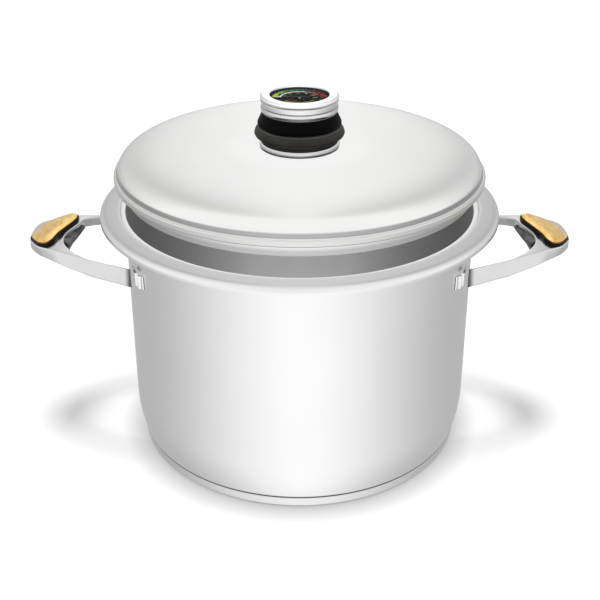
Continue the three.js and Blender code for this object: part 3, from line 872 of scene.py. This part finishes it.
def hexagon_nut():
    """A chamfered hexagon nut with a plain bore."""
    rows = []
    bore, half_across, chamfer, count = 5.4, 8.5, 0.7, 96
    low, high = 12.1, 16.7
    for level, shrink in ((low, chamfer), (12.4, 0), (16.4, 0), (high, chamfer)):
        row = []
        for k in range(count):
            angle = 2 * math.pi * k / count
            facet = (angle + math.pi / 6) % (math.pi / 3) - math.pi / 6
            radius = min(half_across / math.cos(facet), half_across * 1.13) - shrink
            row.append((radius * math.cos(angle), radius * math.sin(angle), level + LID_BASE))
        rows.append(row)
    rows += [circle(bore, level + LID_BASE, count) for level in (high, low)]
    return Shape().rings(rows, closed=True)


def threaded_stud():
    """A tube with a wide head and a rolled thread, made as stacked grooves."""
    pitch, crest, root = 1.0, 5.1, 4.75
    thread = []
    z = 11.4
    while z < 30:
        thread += [(crest, z), (crest, z + 0.3), (root, z + 0.6), (root, z + 0.75)]
        z += pitch
    return ring([(2.8, 11.2), (4.8, 11.2), *thread, (5.1, 31), (10.6, 31), (10.6, 33.6, 0.4), (2.8, 33.6)])


def knob_grip():
    """The black grip, which bulges near its foot."""
    return ring([
        (13, 33.6), (26.2, 33.6, 0.8), (28.4, 35.2, 1), (28.4, 37, 1.5), (25.2, 43.6, 0.8), (13, 43.6),
    ])


# ---------------------------------------------------------------- thermometer

def gauge_case():
    """The cup that holds the dial, with a turned groove round it."""
    return ring([
        (2.5, 43.9), (24.9, 43.9, 0.4), (25.9, 44.9, 0.8), (26.2, 46.4, 0.8), (25.9, 47.9, 0.3), (25.4, 48.3),
        (25.7, 48.8, 0.2), (26, 51.8, 0.4), (22.4, 51.8), (22.4, 45.6), (2.5, 45.6),
    ])


def gauge_bezel():
    """The ring that holds the glass down."""
    return ring([
        (22.2, 52.1), (26.3, 52.1, 0.4), (26.7, 54.5, 0.8), (25.2, 55.7, 0.6), (20.1, 55.5, 0.2),
        (20.1, 54.9), (22.2, 54.9),
    ])


def gauge_lens():
    """Slightly domed glass."""
    return ring([(0, 54), (21.8, 54), (21.8, 54.6), (19.7, 54.6), (13, 55, 8), (0, 55.3)])


def dial_spacer():
    return ring([(20.4, 45.9), (21.9, 45.9), (21.9, 52.1), (20.4, 52.1)])


def sensor_stem():
    """The probe, which ends in a flange in the case."""
    return ring([
        (0, 7.6), (1.2, 7.6, 0.4), (2.1, 8.4, 0.4), (2.1, 45.9), (6, 45.9), (6, 46.6), (0, 46.6),
    ])


def stem_clip():
    """An open spring ring."""
    steps, opening = 60, 0.7
    outline = []
    for radius, order in ((4.6, range(steps + 1)), (2.3, range(steps, -1, -1))):
        for k in order:
            angle = opening + (2 * math.pi - 2 * opening) * k / steps
            outline.append((radius * math.cos(angle), radius * math.sin(angle)))
    return Shape().rings([[(x, y, z + LID_BASE) for x, y in outline] for z in (9.9, 10.8)])


def bimetal_coil():
    """A flat spiral of strip, wound from the spindle outwards."""
    turns, steps, half = 3, 180, 0.35
    first_radius, growth = 2.4, 7
    outline = []
    for offset, order in ((half, range(steps + 1)), (-half, range(steps, -1, -1))):
        for k in order:
            angle = turns * 2 * math.pi * k / steps
            radius = first_radius + growth * k / steps + offset
            outline.append((radius * math.cos(angle), radius * math.sin(angle)))
    return Shape().rings([[(x, y, z + LID_BASE) for x, y in outline] for z in (47.1, 49.0)])


def pointer_spindle():
    return ring([(0, 46.9), (0.9, 46.9), (0.9, 53.1, 0.2), (0, 53.1)], 48)


def dial_face():
    """The plate that carries the scale, with a raised edge."""
    return ring([(1.6, 52.4), (21.9, 52.4), (21.9, 53.7), (20.3, 53.7), (19.7, DIAL_Z), (1.6, DIAL_Z)])


def arc(inner, outer, start, end):
    """A flat ring sector printed on the dial, angles in degrees counter-clockwise from +X."""
    count = max(4, int(abs(end - start) / 2))
    low, high = DIAL_Z + LID_BASE - 0.02, DIAL_Z + LID_BASE + 0.06
    rows = []
    for k in range(count + 1):
        angle = math.radians(start + (end - start) * k / count)
        c, s = math.cos(angle), math.sin(angle)
        rows.append([(inner * c, inner * s, low), (outer * c, outer * s, low), (outer * c, outer * s, high),
                     (inner * c, inner * s, high)])
    return Shape().rings(rows)


def scale_angle(share):
    """The angle at a share of the scale, from its cold end."""
    return DIAL_START + (DIAL_END - DIAL_START) * share


def numeral(text, radius, angle, size):
    """A number printed on the dial, upright towards +Y."""
    curve = bpy.data.curves.new("numeral", "FONT")
    curve.body = text
    curve.size = size * MM
    curve.align_x = "CENTER"
    curve.align_y = "CENTER"
    curve.extrude = 0.00003
    helper = place("numeral", curve)
    turn = math.radians(angle)
    helper.location = (radius * MM * math.cos(turn), radius * MM * math.sin(turn),
                       (DIAL_Z + LID_BASE + 0.03) * MM)
    bpy.context.view_layer.update()
    mesh = bpy.data.meshes.new_from_object(helper.evaluated_get(bpy.context.evaluated_depsgraph_get()))
    shape = Shape()
    shape.vertices = [tuple(c / MM for c in helper.matrix_world @ v.co) for v in mesh.vertices]
    shape.faces = [tuple(p.vertices) for p in mesh.polygons]
    bpy.data.objects.remove(helper)
    bpy.data.curves.remove(curve)
    bpy.data.meshes.remove(mesh)
    return shape


# The coloured band, from the cold end of the scale to the hot end
BAND_COLOURS = [
    ("dial_lime", (0.30, 0.34, 0.02)), ("dial_leaf", (0.10, 0.26, 0.03)), ("dial_green", (0.02, 0.14, 0.04)),
    ("dial_teal", (0.01, 0.09, 0.07)), ("dial_slate", (0.02, 0.04, 0.04)), ("dial_brown", (0.09, 0.01, 0.01)),
    ("dial_red", (0.20, 0.010, 0.016)), ("dial_crimson", (0.05, 0.003, 0.004)),
]


def white_marks():
    """The hairline arc over the cold part of the scale, and the ticks."""
    marks = arc(12.7, 13.5, DIAL_START, 70)
    ticks, half_width = 12, 0.45
    for k in range(ticks + 1):
        angle = scale_angle(k / ticks)
        inner = 14.6 if k % 2 else 14.2
        marks.add(arc(inner, 15.1, angle - half_width, angle + half_width))
    return marks


def dial_numbers():
    """The numbers 20 to 120, each at one of the short ticks."""
    count = 6
    figures = Shape()
    for k in range(count):
        figures.add(numeral(str(20 * (k + 1)), 10.2, scale_angle((2 * k + 1) / (2 * count)), 2.3))
    return figures


def dial_prints():
    """The face and all that is printed on it, as (shape, ink) pairs."""
    prints = [(dial_face(), ink("dial_black", (0.0005, 0.0005, 0.0005)))]
    step = (DIAL_END - DIAL_START) / len(BAND_COLOURS)
    for k, (name, colour) in enumerate(BAND_COLOURS):
        start = DIAL_START + step * k
        prints.append((arc(15.3, 18.6, start, start + step), ink(name, colour)))
    prints += [
        (white_marks(), ink("dial_white", (0.80, 0.80, 0.78))),
        (dial_numbers(), ink("dial_cream", (0.42, 0.44, 0.16))),
        (arc(12.9, 13.5, 70, 25), ink("dial_pink", (0.55, 0.16, 0.16))),
        (arc(10.4, 11.8, 212, 328), ink("dial_yellow", (0.14, 0.155, 0.035))),
        (arc(7.4, 8.2, 205, 262), ink("dial_maroon", (0.10, 0.02, 0.012))),
    ]
    return prints


def dial():
    """The printed dial as one piece, with an ink for each print. It leaves no mirror image on the lid."""
    mesh = bpy.data.meshes.new("gauge_dial_fine")
    bm = bmesh.new()
    for index, (shape, material) in enumerate(dial_prints()):
        mesh.materials.append(material)
        own = to_mesh("dial_part", shape, DIAL_SMOOTH)
        before = len(bm.faces)
        bm.from_mesh(own)
        bm.faces.ensure_lookup_table()
        for face in bm.faces[before:]:
            face.material_index = index
        bpy.data.meshes.remove(own)
    bm.to_mesh(mesh)
    bm.free()
    mesh.set_sharp_from_angle(angle=math.radians(DIAL_SMOOTH))
    obj = place("gauge_dial_fine", mesh)
    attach(obj, "gauge_head")
    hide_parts("gauge_dial")
    obj.visible_glossy = False


def pointer():
    """A slim hand, drawn along +X and turned to its rest."""
    turn = math.radians(POINTER_REST)
    half = [(-6, 1.3), (-4.5, 1.45), (-1, 1.7), (1, 1.5), (6, 1.0), (11, 0.62), (13.5, 0.45), (15.5, 0.2),
            (17, 0.05)]
    outline = [(x, -y) for x, y in half] + [(x, y) for x, y in half[::-1]]
    rows = []
    for inset, z in ((0.06, 53.4), (0, 53.45), (0, 53.63), (0.08, 53.7)):
        row = []
        for x, y in outline:
            y -= math.copysign(min(inset, abs(y)), y)
            row.append((x * math.cos(turn) - y * math.sin(turn), x * math.sin(turn) + y * math.cos(turn),
                        z + LID_BASE))
        rows.append(row)
    return Shape().rings(rows)


def pointer_paint():
    """A black blade with a cream tip."""
    tip_start = 0.0122
    n = new_material("pointer_paint", Roughness=0.4, IOR=1.05)
    tip = n.math("GREATER_THAN", n.radius(), tip_start)
    mottle = n.math("MULTIPLY", n.noise(n.coords, 900, 2), 0.05)
    tone = n.ramp(n.math("ADD", tip, mottle), (0.0, (0.006, 0.006, 0.006)), (0.3, (0.012, 0.012, 0.012)),
                  (0.9, (0.85, 0.84, 0.78)))
    return n.feed(Base_Color=tone).owner


# ---------------------------------------------------------------- the whole object

def build_pot():
    piece("pot_shell", pot_shell(), BODY_STEEL, "pot")
    piece("base_core", base_core(), CORE_ALUMINIUM, "pot")
    piece("base_cap", base_cap(), BASE_STEEL, "pot")


def build_handles():
    """Both handles. The left one is the mirror image, and so are the back brackets."""
    shapes = strap(), grip_insert(), grip_plate(), grip_liner()
    bracket_shape = bracket()
    for side, x in (("right", 1), ("left", -1)):
        loop, tray, plate, liner = (shape.mirrored(x) for shape in shapes)
        piece(f"handle_strap_{side}", loop, STRAP_STEEL, "pot", 40)
        piece(f"grip_insert_{side}", tray, GRIP_BLACK, "pot", 40)
        gold = piece(f"grip_plate_{side}", plate, [GOLD, GOLD_SHADED_RIM], "pot", 50)
        # Faces that turn away from straight up take the shaded copy of the gold, as painted shade.
        for face in gold.data.polygons:
            face.material_index = int(face.normal.z < 0.8)
        piece(f"grip_liner_{side}", liner, LINER_BLACK, "pot", 40)
        for k, spot in enumerate(SCREW_SPOTS):
            screw = grip_screw(spot).mirrored(x)
            piece(f"grip_screw_{side}_{k + 1}", screw, BRIGHT_STEEL, "pot")
        for end, y in (("front", 1), ("back", -1)):
            pad = bracket_shape.mirrored(x, y)
            piece(f"handle_bracket_{side}_{end}", pad, BRACKET_STEEL, "pot", 45)


def build_lid():
    piece("lid_shell", lid_shell(), LID_STEEL, "lid")
    piece("knob_washer", knob_washer(), SEAL_RUBBER, "lid")
    piece("knob_base_ring", knob_base_ring(), RING_STEEL, "lid")
    piece("knob_collar", knob_collar(), COLLAR_GREY, "lid")
    piece("knob_stud", threaded_stud(), BRIGHT_STEEL, "lid")
    piece("knob_nut", hexagon_nut(), BRIGHT_STEEL, "lid")
    piece("nut_washer", nut_washer(), BRIGHT_STEEL, "lid")


def build_thermometer():
    piece("knob_grip", knob_grip(), KNOB_BLACK, "gauge_head")
    piece("gauge_case", gauge_case(), CASE_CHROME, "gauge_head")
    piece("gauge_bezel", gauge_bezel(), CHROME, "gauge_head")
    piece("gauge_lens", gauge_lens(), LENS_GLASS, "gauge_head")
    dial()
    piece("dial_spacer", dial_spacer(), SPACER, "gauge_head")
    piece("sensor_stem", sensor_stem(), BRIGHT_STEEL, "gauge_head")
    piece("stem_clip", stem_clip(), BRIGHT_STEEL, "gauge_head")
    piece("bimetal_coil", bimetal_coil(), COIL_BRASS, "gauge_head")
    piece("pointer_spindle", pointer_spindle(), COIL_BRASS, "pointer")
    piece("gauge_pointer", pointer(), pointer_paint(), "pointer", 50)


# ---------------------------------------------------------------- stage

def floor():
    """Pale paper, with the soft contact shade round the foot painted on it."""
    mesh = bpy.data.meshes.new("floor")
    size, level = 12, -0.0004
    mesh.from_pydata([(x * size, y * size, level) for x, y in ((-1, -1), (1, -1), (1, 1), (-1, 1))], [],
                     [(0, 1, 2, 3)])
    obj = place("floor", mesh)
    shade_start, shade_end = 0.114, 0.135
    n = new_material("floor_paper", Roughness=0.9, Specular_IOR_Level=0.0)
    paper = n.ramp(n.noise(n.coords, 3, 2), (0.3, (0.68, 0.68, 0.68)), (0.7, (0.69, 0.69, 0.69)))
    n.feed(Base_Color=n.tint(paper, n.spread(n.radius(), shade_start, shade_end, 0.6, 1.0)))
    mesh.materials.append(n.owner)
    obj.visible_glossy = False


def world():
    """A soft white tent that is greyer behind: at its sides above the horizon, and all of it below."""
    above, below, front_gain, side_loss, seen_white = 1.15, 0.55, 0.74, 0.5, 1.2
    bpy.context.scene.world = bpy.data.worlds.new("studio")
    n = Nodes(bpy.context.scene.world, "Background", "Generated").set(Color=(1, 1, 1, 1))
    x, y, z = n.split(n.coords)
    ahead = n.math("DIVIDE", y, n.math("MAXIMUM", n.radius(), 0.001))
    front = n.math("POWER", n.math("MULTIPLY", n.math("SUBTRACT", 1.0, ahead), 0.5), 2.2)
    lower = n.math("ADD", n.math("MULTIPLY", front, front_gain), below)
    lower = n.math("MULTIPLY", lower, n.spread(z, -1.0, -0.9, 0.8, 1.0))
    sideways = n.math("POWER", n.math("MULTIPLY", n.math("ABSOLUTE", x), 5.0), 1.5)
    falloff = n.math("SUBTRACT", 1.0, n.math("POWER", 0.368, sideways))
    behind = n.math("MAXIMUM", ahead, 0.0)
    upper = n.math("SUBTRACT", above, n.math("MULTIPLY", n.math("MULTIPLY", falloff, behind), side_loss))
    share = n.spread(z, -0.18, 0.1, 0.0, 1.0)
    tone = n.math("ADD", n.math("MULTIPLY", upper, share),
                  n.math("MULTIPLY", lower, n.math("SUBTRACT", 1.0, share)))
    path = n.tree.nodes.new("ShaderNodeLightPath").outputs
    n.feed(Strength=n.math("MAXIMUM", tone, n.math("MULTIPLY", path["Is Camera Ray"], seen_white)))


def key_light():
    """Soft light from straight above: it draws the shadows under the handles."""
    light = bpy.data.lights.new("key", "SUN")
    light.energy = 2.0
    light.angle = math.radians(13)
    place("key", light).visible_glossy = False


def camera():
    """Looks down on the front of the pot."""
    tilt_down = 27.40
    lens = bpy.data.cameras.new("camera")
    lens.lens = 65.72
    lens.sensor_width = 36
    lens.clip_start = 0.01
    obj = place("camera", lens)
    obj.location = (0.0003, -0.7105, 0.4663)
    obj.rotation_euler = (math.radians(90 - tilt_down), 0, 0)
    bpy.context.scene.camera = obj


build_pot()
build_handles()
build_lid()
build_thermometer()
floor()
world()
key_light()
camera()
bpy.context.scene.view_settings.view_transform = "Standard"
bpy.context.scene.cycles.max_bounces = 24
bpy.context.scene.cycles.glossy_bounces = 20
